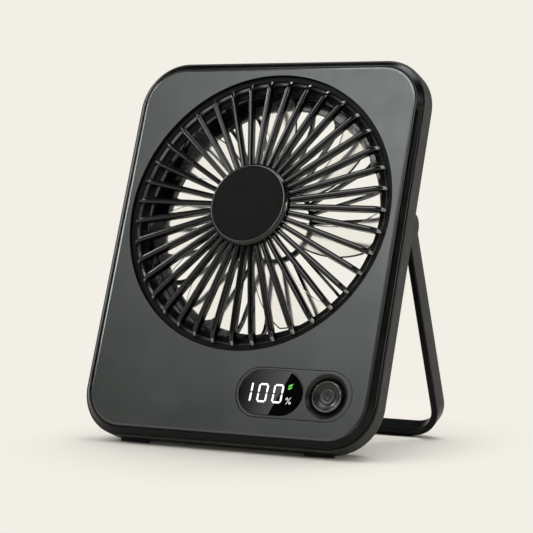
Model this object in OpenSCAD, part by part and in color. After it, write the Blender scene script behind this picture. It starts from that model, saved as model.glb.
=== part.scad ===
// Portable fan in a flat rounded housing, with a folding bail stand.
// Every piece is drawn lying on its back: x to the right, y up the face,
// z out of the face, with z = 0 on the face panel. stood() then leans the
// whole assembly back and sets it on the floor, +Z up, facing -Y.

/* [Face] */
// Width of the face panel
panel_w = 138; // [126:1:170]
// Height of the face panel
panel_h = 172; // [160:1:210]
// Corner radius of the face panel
panel_r = 18; // [16:1:24]
// Thickness of the face panel
panel_t = 1.2; // [1:0.1:1.5]
// How far the bevelled bezel reaches outside the panel
bezel_out = 3; // [2:0.1:3.5]
// How far the bezel drops from the panel to its outer edge
bezel_drop = 2.2; // [1:0.1:2.4]

/* [Housing] */
// How far the housing side stands outside the panel
shell_out = 4; // [4:0.1:6]
// Depth of the front slab of the housing
slab_depth = 11.2; // [10:0.1:14]
// Depth of the whole housing, rear tier included
tier_depth = 23; // [22.5:0.1:27]
// Wall thickness of the housing
wall = 1.8; // [1.5:0.1:2.2]

/* [Fan] */
// Radius of the round opening in the face
opening_r = 65.6; // [50:0.1:65.8]
// Height of the fan's centre below the panel's upper edge
fan_drop = 69.1; // [69:0.1:76]
// Number of ribs in the front grille
rib_count = 39; // [24:1:42]
// Number of ribs in the rear grille
rear_rib_count = 24; // [16:1:40]
// Width of a front rib
rib_w = 1.8; // [1.2:0.1:2.4]
// Depth of a front rib
rib_d = 3.6; // [2.6:0.1:4]
// Height of the rib roots above the face
dome_h = 7; // [5:0.5:10]
// Radius of the raised centre cap
cap_r = 19.4; // [18:0.1:24]
// Number of impeller blades
blade_count = 7; // [5:1:9]
// Angle of the first impeller blade
blade_start = 30; // [0:1:60]
// Running gap between blade tips and duct
tip_gap = 1.8; // [1.2:0.1:3]

/* [Controls] */
// Width of the pill-shaped control plate
pill_w = 56; // [50:0.5:62]
// Height of the control plate
pill_h = 22.4; // [18:0.2:25]
// Diameter of the power button
button_d = 14; // [12:0.5:15]
// Travel of the power button
button_travel = 0.5; // [0.3:0.05:0.6]

/* [Stand] */
// Angle between the folded and the shown position of the stand
stand_angle = 43; // [0:1:180]
// Backward lean of the housing
lean = 20; // [15:0.5:25]
// Height of the stand pivot above the panel's lower edge
pivot_y = 103; // [95:1:110]
// Width of the stand strap
strap_w = 9.6; // [8:0.2:10.4]
// Thickness of the stand strap
strap_t = 3.2; // [2.4:0.1:4]
// Outer corner radius of the stand
strap_r = 15; // [12:1:18]

/* [Hidden] */
$fn = 72;
eps = 0.01;
gap = 0.15;        // visible seam between fixed pieces
seat = 0.05;       // clearance where fixed pieces meet
run = 0.04;        // radial clearance of a shaft in its bearing

// Face and bezel
panel_edge = 0.35;
bezel_rear = 3.1;
bezel_plate_z = -3;
panel_seat = -panel_t - gap;

// Opening, grille ring and duct
fan_y = panel_h - fan_drop;
ring_top = -1.6;
ring_out = opening_r - 0.1;
ring_in = opening_r - 4.2;
flange_r = opening_r + 3.2;
flange_top = bezel_plate_z - seat;
flange_bot = flange_top - 1.3;
duct_r = ring_in - 2.6;
duct_t = 1.9;
duct_front = flange_bot - seat;

// Front ribs: a straight stretch, then a hook that lands on the ring
rib_root = 17.5;
rib_bend = ring_in - 2.8;
rib_tip = opening_r - 2.2;
rib_tip_z = ring_top + 1;
rib_fall = 0.11;   // drop per millimetre of radius
slope = atan(rib_fall);
function rib_z(r) = dome_h - rib_fall * (r - rib_root);
// The bend is an arc that ends where its tangent reaches the tip
hook_r = 3.6;
hook_x = rib_bend - hook_r * sin(slope);
hook_z = rib_z(rib_bend) - hook_r * cos(slope);
hook_end = atan2(rib_tip - hook_x, rib_tip_z - hook_z)
    - acos(hook_r / norm([rib_tip - hook_x, rib_tip_z - hook_z]));
hub_r = cap_r - 1.2;
cap_h = 3;
cap_bevel = 1.7;

// Motor, from the hub disc backwards
hub_back = dome_h - rib_d - 0.3;
hub_front = dome_h + 0.15;
base_t = 1.2;
base_top = hub_back - seat;
tube_r = 3.8;
tube_end = -6.5;
bearing_h = 2.5;
shaft_r = 1.5;
rotor_r = 12;
rotor_t = 1;
rotor_top = 1.4;
rotor_end = -8;
magnet_t = 1.2;
stator_r = rotor_r - rotor_t - magnet_t - 0.4;
stator_top = 0.8;
stator_h = 5.2;
pole_count = 9;

// Impeller
hub_t = 1.5;
hub_in = rotor_r + seat;
hub_out = hub_in + hub_t;
hub_end = rotor_end - 1.6;
tip_r = duct_r - tip_gap;
blade_front = -2.8;
blade_pitch_root = 44;
blade_pitch_tip = 21;
blade_chord_root = 11;
blade_chord_tip = 27;
blade_sweep = 16;
blade_t = 1.3;
blade_rings = 9;
blade_side = 7;

// Rear grille
rim_front = -14;
rim_in = duct_r - 4.8;
rim_out = duct_r - seat;
rear_rib_w = 1.3;
rear_rib_d = 2;
rear_face = -tier_depth + 0.6;
inner_ring = 17.5;

// Housing
shell_w = panel_w + 2 * shell_out;
shell_h = panel_h + 2 * shell_out;
shell_r = panel_r + shell_out;
strap_inset = 4;
strap_x = panel_w / 2 + shell_out - strap_inset;
side_gap = 0.4;
tier_x = strap_x - strap_t - side_gap;
tier_top = panel_h + shell_out - strap_inset;
tier_r = 17;
post_r = 2.9;
post_pts = [
    [tier_x - 9.4, tier_top - 12], [20, tier_bot() + wall + 2.6], [tier_x - 5.4, 46]
];

// Stand and pivots
pivot_z = -slab_depth - strap_w / 2 - 1.6;
head_r = strap_w / 2 + 1.1;
head_out = 0.8;
foot_gap = 0.3;
tilt = stand_angle - lean;
pivot_high = pivot_y * cos(lean) + pivot_z * sin(lean) + floor_drop();
strap_l = (pivot_high - foot_gap - strap_w / 2 * sin(tilt)) / cos(tilt);
pin_r = 2;
bush_r = 3;
pin_head_r = 3.4;
pin_head_x = duct_r + duct_t + 0.4;
pin_head_t = 0.7;
washer_t = 0.4;
boss_x = pin_head_x + pin_head_t + washer_t + 2 * seat;

// Controls
pill_x = 33.4;
pill_y = 19.6;
lens_w = 31;
lens_h = 20;
lens_x = 22.4;
button_x = 49.2;
well_r = 10;
well_depth = 3.4;
button_r = button_d / 2;
button_gap = 0.35;
board_z = -8.8;
board_top = board_z + 1.2;
board_x = -panel_w / 2 + 2;
board_y = 10;
board_end = panel_w / 2 - 6;
board_high = 37.5;
usb_y = 20;
usb_z = board_top + seat + 1.6;
tact_h = 2.6;
board_t = 1.2;
cell_h = 9;
cell_y = board_y;
cell_top = -tier_depth + wall + 0.9 + cell_h;
lead_turn = 360 / rib_count * round((270 - 1.4) * rib_count / 360) + 1.4;
lead_bend = opening_r - 7.6;
lead_far = max(flange_r + 1.5, fan_y - board_high + 4.9);

// Distance from the z axis origin down to the floor, measured upright
function floor_drop() = shell_out * cos(lean) + slab_depth * sin(lean) + foot_gap;
// Lower edge of the rear tier, just above the folded cross bar
function tier_bot() = 2;

// Front and back of the standing assembly, for centring it on the origin
front_reach = panel_edge * sin(lean);
back_reach = pivot_y * sin(lean) - pivot_z * cos(lean)
    + strap_l * sin(tilt) + strap_w / 2 * cos(tilt);
shift_y = -(front_reach + back_reach) / 2;

// ---- placing ----

module stood() {
    translate([0, shift_y, floor_drop()]) rotate([90 - lean, 0, 0]) children();
}

module on_axis() {
    translate([0, fan_y, 0]) children();
}

module mirrored() {
    children();
    mirror([1, 0, 0]) children();
}

// Keeps what lies above the floor
module above_floor() {
    difference() {
        children();
        translate([-100, -150, -20]) cube([200, 300, 20]);
    }
}

// ---- shapes that repeat ----

// Rounded rectangle, its lower edge on y = 0 less the margin
module plate_2d(w, h, r) {
    translate([-w / 2, (panel_h - h) / 2]) rounded_2d(w, h, r);
}

module rounded_2d(w, h, r) {
    translate([r, 0]) square([w - 2 * r, h]);
    translate([0, r]) square([w, h - 2 * r]);
    for (x = [r, w - r], y = [r, h - r]) translate([x, y]) circle(r);
}

// Stadium centred on the origin
module stadium_2d(w, h) {
    square([w - h, h], center = true);
    for (s = [-1, 1]) translate([s * (w - h) / 2, 0]) circle(h / 2);
}

// Solid rounded plate whose edge follows a 2D profile: x from the corner
// centre outwards, y along the plate's thickness
module profiled_plate(w, h, r) {
    x = w / 2 - r;
    y = h / 2 - r;
    translate([0, panel_h / 2, 0]) {
        for (c = [[x, y, 0], [-x, y, 90], [-x, -y, 180], [x, -y, 270]])
            translate([c[0], c[1], 0]) rotate([0, 0, c[2]])
                rotate_extrude(angle = 90) children();
        for (c = [[x, y, 0, 2 * y], [-x, -y, 180, 2 * y], [-x, y, 90, 2 * x], [x, -y, 270, 2 * x]])
            translate([c[0], c[1], 0]) rotate([0, 0, c[2]]) rotate([90, 0, 0])
                linear_extrude(c[3]) children();
    }
}

// Edge profile with a rounded rear corner and a small front chamfer
module edge_2d(r, z_front, z_back, round_back) {
    difference() {
        translate([0, z_back]) square([r, z_front - z_back]);
        translate([r - round_back, z_back]) difference() {
            square(round_back);
            translate([0, round_back]) circle(round_back);
        }
    }
}

module filled_plate(w, h, r, z_front, z_back, round_back) {
    profiled_plate(w, h, r) edge_2d(r, z_front, z_back, round_back);
    translate([-w / 2 + r, (panel_h - h) / 2 + r, z_back])
        cube([w - 2 * r, h - 2 * r, z_front - z_back]);
}

module tube(r_out, r_in, z0, z1) {
    translate([0, 0, z0]) difference() {
        cylinder(r = r_out, h = z1 - z0);
        translate([0, 0, -1]) cylinder(r = r_in, h = z1 - z0 + 2);
    }
}

module disc(r, z0, z1) {
    translate([0, 0, z0]) cylinder(r = r, h = z1 - z0);
}

// Pan-head screw, head up, its shank running down
module screw(head_r, head_h, shank_r, length) {
    cylinder(r = head_r, h = head_h);
    translate([0, 0, -length]) cylinder(r = shank_r, h = length + eps);
}

module at_posts() {
    mirrored() for (p = post_pts) translate([p[0], p[1], 0]) children();
}

// ---- face ----

module face_panel() color("#5d5f5e") stood() difference() {
    union() {
        profiled_plate(panel_w, panel_h, panel_r)
            polygon([
                [0, -panel_t], [panel_r, -panel_t], [panel_r, -panel_edge],
                [panel_r - panel_edge, 0], [0, 0]
            ]);
        translate([-panel_w / 2 + panel_r, panel_r, -panel_t])
            cube([panel_w - 2 * panel_r, panel_h - 2 * panel_r, panel_t]);
    }
    on_axis() disc(opening_r, -panel_t - 1, 1);
    translate([pill_x, pill_y, -panel_t - 1])
        linear_extrude(panel_t + 2) stadium_2d(pill_w + 2 * gap, pill_h + 2 * gap);
}

// Bevelled frame with a web behind the panel, grille and control seats
module front_bezel() color("#141415") stood() difference() {
    union() {
        bezel_rim();
        translate([0, 0, bezel_plate_z]) linear_extrude(-bezel_plate_z + panel_seat)
            plate_2d(panel_w + 1, panel_h + 1, panel_r + 0.5);
        bezel_locator();
        at_posts() disc(post_r - 0.4, -12, bezel_plate_z + eps);
        for (p = board_posts()) translate([p[0], p[1], 0])
            disc(2.2, board_top + seat, bezel_plate_z + eps);
    }
    on_axis() disc(opening_r + 0.2, bezel_plate_z - 1, 1);
    translate([pill_x, pill_y, -12])
        linear_extrude(14) stadium_2d(pill_w - 2, pill_h - 2);
    at_posts() disc(1.05, -13, -4);
    for (p = board_posts()) translate([p[0], p[1], 0]) disc(0.85, -9, -4);
    on_axis() for (a = grille_tabs()) rotate(a) translate([flange_r + 0.4, 0, 0]) disc(0.85, -4, -1.9);
    translate([-shell_w / 2, usb_y - 5.2, -7]) cube([8, 10.4, -bezel_plate_z + 0.95]);
}

module bezel_rim() difference() {
    profiled_plate(panel_w + 2 * bezel_out, panel_h + 2 * bezel_out, panel_r + bezel_out)
        translate([panel_r - 4, 0]) polygon([
            [0, bezel_plate_z], [4.5, bezel_plate_z], [4.5, -bezel_rear],
            [4 + bezel_out, -bezel_rear], [4 + bezel_out, -bezel_drop - 0.2],
            [3.8 + bezel_out, -bezel_drop], [4.6 + gap, -0.1], [4 + gap, -0.1],
            [4 + gap, panel_seat], [0, panel_seat]
        ]);
}

// Lip that centres the bezel inside the housing wall
module bezel_locator() translate([0, 0, -5.4]) linear_extrude(5.4 + bezel_plate_z + eps)
    difference() {
        plate_2d(shell_w - 2 * wall - 0.4, shell_h - 2 * wall - 0.4, shell_r - wall - 0.2);
        plate_2d(shell_w - 2 * wall - 2.8, shell_h - 2 * wall - 2.8, shell_r - wall - 1.4);
    }

function board_posts() = [[-48, 14], [-48, 33], [3, 28], [60, 33]];

// ---- grille ----

// One rib: layers that narrow towards the front edge, so the edge is bevelled
module front_rib() rotate([90, 0, 0])
    for (l = [[rib_w, 0.5], [rib_w * 0.55, 0]])
        linear_extrude(l[0], center = true) polygon(rib_side(l[1]));

// Side view of a rib whose front edge is set back: x outwards, y forwards.
// It runs straight, bends down and lands on the ring.
function rib_side(back) = concat(
    [[rib_root, rib_z(rib_root) - rib_d], [rib_root, rib_z(rib_root) - back]],
    [for (i = [0 : 5]) let(a = slope + (hook_end - slope) * i / 5) [
        hook_x + (hook_r - back) * sin(a), hook_z + (hook_r - back) * cos(a)
    ]],
    [
        [rib_tip - back, rib_tip_z - back], [rib_tip - back, rib_tip_z - 0.6],
        [rib_tip - back - 0.4, ring_top - 0.5],
        [ring_in + 0.3, ring_top - 0.5], [ring_in + 0.3, ring_top - 1.2],
        [rib_bend, rib_z(rib_bend) - rib_d]
    ]
);

module front_grille() color("#19191a") stood() on_axis() {
    difference() {
        union() {
            rotate_extrude() polygon([
                [ring_in, flange_bot], [flange_r, flange_bot], [flange_r, flange_top],
                [ring_out, flange_top], [ring_out, ring_top], [ring_in, ring_top]
            ]);
            for (a = grille_tabs()) rotate(a) translate([flange_r, 0, flange_bot + 0.05])
                cylinder(r = 3, h = flange_top - flange_bot - 0.1);
            disc(hub_r, hub_back, hub_front);
            for (i = [0 : rib_count - 1]) rotate(360 / rib_count * i + 1.4) front_rib();
        }
        for (a = grille_tabs()) rotate(a) translate([flange_r + 0.4, 0, -10]) cylinder(r = 1.1, h = 12);
        for (a = [30, 150, 270]) rotate(a) translate([9, 0, 0]) disc(0.9, hub_back - 1, hub_back + 2);
    }
}

function grille_tabs() = [52, 128, 232, 308];

module grille_cap() color("#1b1b1b") stood() on_axis() rotate_extrude() difference() {
    polygon([
        [0, hub_front + seat], [cap_r - 0.3, hub_front + seat], [cap_r, hub_front + 0.3],
        [cap_r, dome_h + cap_h - cap_bevel], [cap_r - cap_bevel, dome_h + cap_h], [0, dome_h + cap_h]
    ]);
    translate([0, hub_front]) square([hub_r - 2, 1]);
}

module rear_rib() rotate([90, 0, 0]) linear_extrude(rear_rib_w, center = true)
    polygon([
        [inner_ring, rear_face + rear_rib_d], [rim_in - 6, rear_face + rear_rib_d],
        [rim_in - 2.4, rear_face + rear_rib_d + 1], [rim_in - 0.4, rim_front - 1.4],
        [rim_in + 1, rim_front - 1.4], [rim_in + 1, rear_face + 3], [rim_in - 1, rear_face + 1.1],
        [rim_in - 4, rear_face], [inner_ring, rear_face]
    ]);

module rear_grille() color("#1d1d1e") stood() on_axis() {
    rotate_extrude() polygon([
        [rim_in, rim_front], [rim_out, rim_front], [rim_out, rear_face],
        [rim_out - 1.2, rear_face], [rim_out - 1.2, rim_front - 2], [rim_in, rim_front - 2]
    ]);
    tube(inner_ring + 1.1, inner_ring - 1.1, rear_face - 0.1, rear_face + rear_rib_d + 0.1);
    for (i = [0 : rear_rib_count - 1]) rotate(360 / rear_rib_count * i + 4) rear_rib();
}

// ---- controls ----

module control_plate() color("#555756") stood() difference() {
    union() {
        translate([pill_x, pill_y, panel_seat + seat])
            linear_extrude(-panel_seat - seat - 0.1) stadium_2d(pill_w, pill_h);
        translate([pill_x, pill_y, -well_depth])
            linear_extrude(well_depth - 0.6) stadium_2d(pill_w - 2.4, pill_h - 2.4);
    }
    translate([lens_x, pill_y, -5]) linear_extrude(6) stadium_2d(lens_w - 2, lens_h - 2);
    translate([lens_x, pill_y, -1.6]) linear_extrude(3) stadium_2d(lens_w + 0.2, lens_h + 0.2);
    translate([button_x, pill_y, 0]) {
        disc(button_r + button_gap, -6, 1);
        translate([0, 0, -2.2]) cylinder(r1 = button_r + button_gap, r2 = well_r, h = 2.2);
    }
}

module display_lens() color("#08090a") stood()
    translate([lens_x, pill_y, -1.5]) linear_extrude(1.35) stadium_2d(lens_w, lens_h);

module display_module() color("#e8e8e2") stood()
    translate([lens_x, pill_y, 0]) {
        translate([-11, -7, board_top + seat]) cube([22, 14, 4]);
        translate([-10, -6, board_top + 4]) cube([20, 12, 1.8]);
    }

module power_button() color("#242425") stood() translate([button_x, pill_y, 0]) {
    rotate_extrude() difference() {
        union() {
            polygon([
                [0, -2.6], [button_r - 0.8, -2.6], [button_r, -2.2], [button_r, -0.5],
                [button_r - 0.4, -0.05], [0, -0.05]
            ]);
        }
        translate([0, 13.6]) circle(15.2);
    }
    rotate_extrude() difference() {
        translate([0, -2.2]) square([3.3, 0.95]);
        translate([0, 11.6]) circle(13);
    }
    disc(2.4, -3.6, -2.5);
}

module switch_plunger() color("#303030") stood() translate([button_x, pill_y, 0])
    disc(1.6, board_top + tact_h - 0.9, -3.65);

module tact_switch() color("#9a9a96") stood() translate([button_x, pill_y, 0])
    difference() {
        translate([-3, -3, board_top + seat]) cube([6, 6, tact_h]);
        disc(1.8, board_top + 0.6, 0);
    }

module main_board() color("#1f5a36") stood() difference() {
    union() {
        translate([board_x, board_y, board_z]) cube([board_end - board_x, board_high - board_y, board_t]);
        for (p = [[-36, 20, 8, 8, 1], [-20, 26, 4, 3, 1.2], [-57, 27, 5, 4, 1.4], [-12, 14, 6, 6, 2]])
            translate([p[0], p[1], board_top - eps]) cube([p[2], p[3], p[4]]);
    }
    for (p = board_posts()) translate([p[0], p[1], 0]) disc(1.1, board_z - 1, board_z + 2);
}

module usb_socket() color("silver") stood() translate([-shell_w / 2 + 0.4, usb_y, usb_z])
    rotate([90, 0, 90]) difference() {
        linear_extrude(7.4) stadium_2d(8.9, 3.2);
        translate([0, 0, -1]) linear_extrude(7) difference() {
            stadium_2d(8.3, 2.6);
            square([6.6, 0.7], center = true);
        }
    }

module battery_cells() color("#b9c0c6") stood()
    for (s = [-1, 1]) translate([s * 27 - 25.5, cell_y, -tier_depth + wall + 0.9])
        rounded_box(51, 30, cell_h, 1.5);

module rounded_box(w, d, h, r) linear_extrude(h) rounded_2d(w, d, r);

module battery_pad() color("#2c2c2c") stood()
    translate([-50, cell_y + 2, -tier_depth + wall + seat]) cube([100, 26, 0.8]);

// ---- housing ----

module rear_shell() color("#3a3a3b") stood() difference() {
    union() {
        difference() {
            shell_outside();
            shell_inside();
        }
        intersection() {
            union() {
                on_axis() tube(duct_r + duct_t, duct_r, -tier_depth + 1, duct_front);
                at_posts() disc(post_r, -tier_depth + 1, -12.1);
                for (s = [-1, 1]) translate([s * tier_x, pivot_y, pivot_z]) rotate([0, -90 * s, 0])
                    cylinder(r = 4.6, h = tier_x - boss_x);
            }
            filled_plate(2 * tier_x - 1, 2 * tier_top - panel_h - 1, tier_r, 0, -tier_depth + 0.8, 2);
        }
    }
    on_axis() disc(duct_r, -tier_depth - 1, 1);
    on_axis() rotate(lead_turn) translate([duct_r - 2, -1.5, duct_front - 1]) cube([duct_t + 4, 3, 4]);
    at_posts() {
        disc(1.3, -tier_depth - 1, 0);
        disc(2.5, -tier_depth - 1, -tier_depth + 3);
    }
    for (s = [-1, 1]) translate([s * (boss_x - 1), pivot_y, pivot_z]) rotate([0, 90 * s, 0])
        cylinder(r = bush_r + 0.02, h = 20);
    translate([-shell_w / 2 - 1, usb_y, usb_z]) rotate([90, 0, 90])
        linear_extrude(wall + 4) stadium_2d(9.5, 3.8);
}

module shell_outside() {
    filled_plate(shell_w, shell_h, shell_r, -bezel_rear - 0.1, -slab_depth, 1.2);
    tier(0, -slab_depth + 1, -tier_depth, 2.4);
}

module shell_inside() {
    translate([0, 0, -slab_depth + wall]) linear_extrude(20)
        plate_2d(shell_w - 2 * wall, shell_h - 2 * wall, shell_r - wall);
    tier(wall, 1, -tier_depth + wall, 1);
}

// The rear tier, drawn in from its outside by inset
module tier(inset, z_front, z_back, round_back) {
    h = tier_top - tier_bot();
    translate([0, (tier_top + tier_bot()) / 2 - panel_h / 2, 0])
        filled_plate(2 * (tier_x - inset), h - 2 * inset, tier_r - inset, z_front, z_back, round_back);
}

// ---- motor ----

module motor_base() color("#2b2b2c") stood() on_axis() difference() {
    union() {
        disc(11.5, base_top - base_t, base_top);
        disc(tube_r, tube_end, base_top - base_t + eps);
    }
    disc(3.02, -0.4, base_top + 1);
    disc(2.2, tube_end - 1, 0);
    disc(3.02, tube_end - 1, tube_end + bearing_h + 0.1);
    for (a = [30, 150, 270]) rotate(a) translate([9, 0, 0]) disc(1.1, -2, base_top + 1);
}

module motor_bearings() color("silver") stood() on_axis()
    for (z = [tube_end + 0.05, -0.35])
        tube(3, shaft_r + run, z, z + bearing_h);

module motor_shaft() color("silver") stood() on_axis()
    disc(shaft_r, rotor_end + 0.05, base_top - 0.3);

module stator_core() color("#6d6f72") stood() on_axis() translate([0, 0, stator_top - stator_h])
    linear_extrude(stator_h) difference() {
        union() {
            circle(5.4);
            for (i = [0 : pole_count - 1]) rotate(360 / pole_count * i) {
                translate([5, -0.7]) square([stator_r - 5.5, 1.4]);
                translate([stator_r - 1.4, -2.3]) square([1, 4.6]);
            }
        }
        circle(tube_r + seat);
    }

module stator_coils() color("#a5622c") stood() on_axis()
    for (i = [0 : pole_count - 1]) rotate(360 / pole_count * i) translate([5.6, 0, stator_top - stator_h / 2])
        difference() {
            translate([0, -1.35, -3.2]) cube([2.3, 2.7, 6.4]);
            translate([-1, -0.75, -stator_h / 2 - 0.05]) cube([5, 1.5, stator_h + 0.1]);
        }

module rotor_cup() color("#8d9094") stood() on_axis() {
    tube(rotor_r, rotor_r - rotor_t, rotor_end, rotor_top);
    tube(rotor_r - 0.5, shaft_r + 0.02, rotor_end, rotor_end + 1);
}

module rotor_magnet() color("#4a4a4c") stood() on_axis()
    tube(rotor_r - rotor_t - seat, rotor_r - rotor_t - magnet_t, rotor_end + 1.6, rotor_top - 0.4);

// ---- impeller ----

// Share of the blade's span at station k
function span(k) = k / (blade_rings - 1);
function mix(a, b, s) = a + (b - a) * s;
function station_r(k) = mix(hub_out - 0.25, tip_r, span(k));
// Outline of a section: chord fraction and half thickness, out and back
function section(j) = let(n = blade_side - 1, m = 2 * blade_side - 2, u = j <= n ? j / n : (m - j) / n)
    [u - 0.5, (j <= n ? 1 : -1) * blade_t / 2 * sqrt(max(0, 4 * u * (1 - u))) * 0.92];
// A point of the blade's skin, wrapped round the axis
function blade_pt(k, j) = let(
    s = span(k), r = station_r(k), p = section(j),
    chord = mix(blade_chord_root, blade_chord_tip, s),
    pitch = mix(blade_pitch_root, blade_pitch_tip, pow(s, 0.7)),
    camber = 0.09 * chord * (1 - 4 * p[0] * p[0]),
    along = p[0] * chord, off = camber + p[1],
    t = along * cos(pitch) - off * sin(pitch),
    z = -along * sin(pitch) - off * cos(pitch),
    mid = mix(0.2, blade_front, min(1, 2 * s)) - chord / 2 * sin(pitch),
    a = t / r * 180 / PI + blade_sweep * s * s)
    [r * cos(a), r * sin(a), mid + z];

module blade() {
    m = 2 * blade_side - 2;
    pts = [for (k = [0 : blade_rings - 1]) for (j = [0 : m - 1]) blade_pt(k, j)];
    skin = [for (k = [0 : blade_rings - 2]) for (j = [0 : m - 1]) let(
        a = k * m + j, b = k * m + (j + 1) % m) each [[a, b, b + m], [a, b + m, a + m]]];
    ends = [for (j = [0 : blade_side - 2]) let(q = (m - j) % m, t = (blade_rings - 1) * m) each [
        [j, q, m - j - 1], [j, m - j - 1, j + 1], [t + j, t + m - j - 1, t + q], [t + j, t + j + 1, t + m - j - 1]
    ]];
    polyhedron(points = pts, faces = [
        for (f = concat(skin, ends)) if (f[0] != f[1] && f[1] != f[2] && f[0] != f[2]) [f[2], f[1], f[0]]
    ]);
}

module impeller() color("#e9e9e4", 0.5) stood() on_axis() {
    tube(hub_out, hub_in, hub_end, rotor_top - 0.2);
    tube(hub_out - 0.5, 3, hub_end, hub_end + 1.5);
    for (i = [0 : blade_count - 1]) rotate(360 / blade_count * i + blade_start) blade();
}

// ---- fasteners and leads ----

module housing_screws() color("#3b3b3d") stood() at_posts()
    translate([0, 0, -tier_depth + 2.95]) mirror([0, 0, 1]) screw(2.2, 1.4, 1, 11);

module grille_screws() color("#77787a") stood() on_axis()
    for (a = grille_tabs()) rotate(a) translate([flange_r + 0.4, 0, flange_bot - seat])
        mirror([0, 0, 1]) screw(1.9, 1.1, 0.8, 2.4);

module board_screws() color("#77787a") stood()
    for (p = board_posts()) translate([p[0], p[1], board_z - seat])
        mirror([0, 0, 1]) screw(1.8, 1, 0.8, 4.6);

// Flat lead, seen from the side as the outline given
module ribbon(width, outline) rotate([90, 0, 0]) linear_extrude(width, center = true) polygon(outline);

// From the motor base along the back of the lowest rib, through the notch
// in the duct, and down to the board
module motor_lead() color("#1b1b1b") stood() on_axis() rotate(lead_turn) ribbon(2, [
    [11.55, base_top], [hub_r + 0.3, base_top], [lead_bend, back_z(lead_bend) - seat],
    [lead_bend + 1.8, duct_front - 0.1], [lead_far, duct_front - 0.1], [lead_far, board_top + seat],
    [lead_far - 0.5, board_top + seat], [lead_far - 0.5, duct_front - 0.6],
    [lead_bend + 1.4, duct_front - 0.6], [lead_bend - 0.2, back_z(lead_bend) - seat - 0.5],
    [hub_r + 0.3, base_top - 0.5], [11.55, base_top - 0.5]
]);

// Rear edge of a rib on its way to the ring
function back_z(r) = rib_z(r) - rib_d;

module battery_lead() color("#a02020") stood() mirrored() translate([0, 22, 0]) ribbon(2.4, [
    [1.2, board_z - seat], [5, board_z - seat], [5.5, cell_top + 0.55], [9, cell_top + 0.55],
    [9, cell_top + seat], [5, cell_top + seat], [4.5, board_z - 0.6], [1.2, board_z - 0.6]
]);

// ---- feet and stand ----

module body_feet() color("#101010") above_floor() stood()
    mirrored() translate([39, -shell_out - 4, -slab_depth + 0.8])
        cube([14, 4, 2.2]);

// The strap lies in the x-y plane here, its pivot on the x axis
module bail_flat() {
    x = strap_x - strap_r;
    y = -strap_l + strap_r;
    translate([0, 0, -strap_w / 2]) {
        linear_extrude(strap_w) {
            for (s = [-1, 1]) translate([s * strap_x - (s + 1) / 2 * strap_t, y]) square([strap_t, -y]);
            translate([-x, -strap_l]) square([2 * x, strap_t]);
        }
        for (s = [0, 1]) mirror([s, 0, 0]) translate([x, y, 0]) rotate([0, 0, -90])
            rotate_extrude(angle = 90) translate([strap_r - strap_t, 0]) square([strap_t, strap_w]);
    }
}

module stand_place() stood() translate([0, pivot_y, pivot_z]) rotate([stand_angle, 0, 0]) children();

module stand_bail() color("#303031") stand_place() difference() {
    union() {
        bail_flat();
        mirrored() translate([strap_x - strap_t, 0, 0]) rotate([0, 90, 0])
            cylinder(r = head_r, h = strap_t + head_out);
    }
    mirrored() translate([strap_x - strap_t - 1, 0, 0]) rotate([0, 90, 0]) cylinder(r = pin_r + 0.02, h = strap_t);
}

module stand_feet() color("#101010") above_floor() stand_place()
    mirrored() translate([30, -strap_l - 4, strap_w / 2 - 3.4]) cube([24, 4, 3.2]);

module pivot_pin(s) stood() translate([0, pivot_y, pivot_z]) rotate([0, 90 * s, 0]) {
    disc(pin_head_r, pin_head_x, pin_head_x + pin_head_t);
    disc(pin_r, pin_head_x, strap_x - 1.1);
}

module friction_washer(s) stood() translate([0, pivot_y, pivot_z]) rotate([0, 90 * s, 0])
    tube(pin_head_r, pin_r + run, pin_head_x + pin_head_t + seat, pin_head_x + pin_head_t + washer_t + seat);

module pivot_bushing(s) stood() translate([0, pivot_y, pivot_z]) rotate([0, 90 * s, 0])
    tube(bush_r, pin_r + run, boss_x, tier_x + 0.1);

module pivot_pin_left() color("silver") pivot_pin(-1);
module pivot_pin_right() color("silver") pivot_pin(1);
module pivot_bushing_left() color("#d8d2c0") pivot_bushing(-1);
module pivot_bushing_right() color("#d8d2c0") pivot_bushing(1);
module friction_washer_left() color("#8a8c8f") friction_washer(-1);
module friction_washer_right() color("#8a8c8f") friction_washer(1);

face_panel();
front_bezel();
front_grille();
grille_cap();
control_plate();
display_lens();
display_module();
power_button();
switch_plunger();
tact_switch();
main_board();
usb_socket();
battery_cells();
battery_pad();
rear_shell();
rear_grille();
motor_base();
stator_core();
stator_coils();
motor_bearings();
motor_shaft();
rotor_cup();
rotor_magnet();
impeller();
housing_screws();
grille_screws();
board_screws();
motor_lead();
battery_lead();
body_feet();
stand_bail();
stand_feet();
pivot_pin_left();
pivot_pin_right();
pivot_bushing_left();
pivot_bushing_right();
friction_washer_left();
friction_washer_right();
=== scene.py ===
"""Small parts, finishes, floor, lights and camera of a portable fan.

The fan sits in a flat rounded housing that leans back on a bail stand.
"""

import math

import bmesh
import bpy
from mathutils import Matrix, Vector


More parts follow.
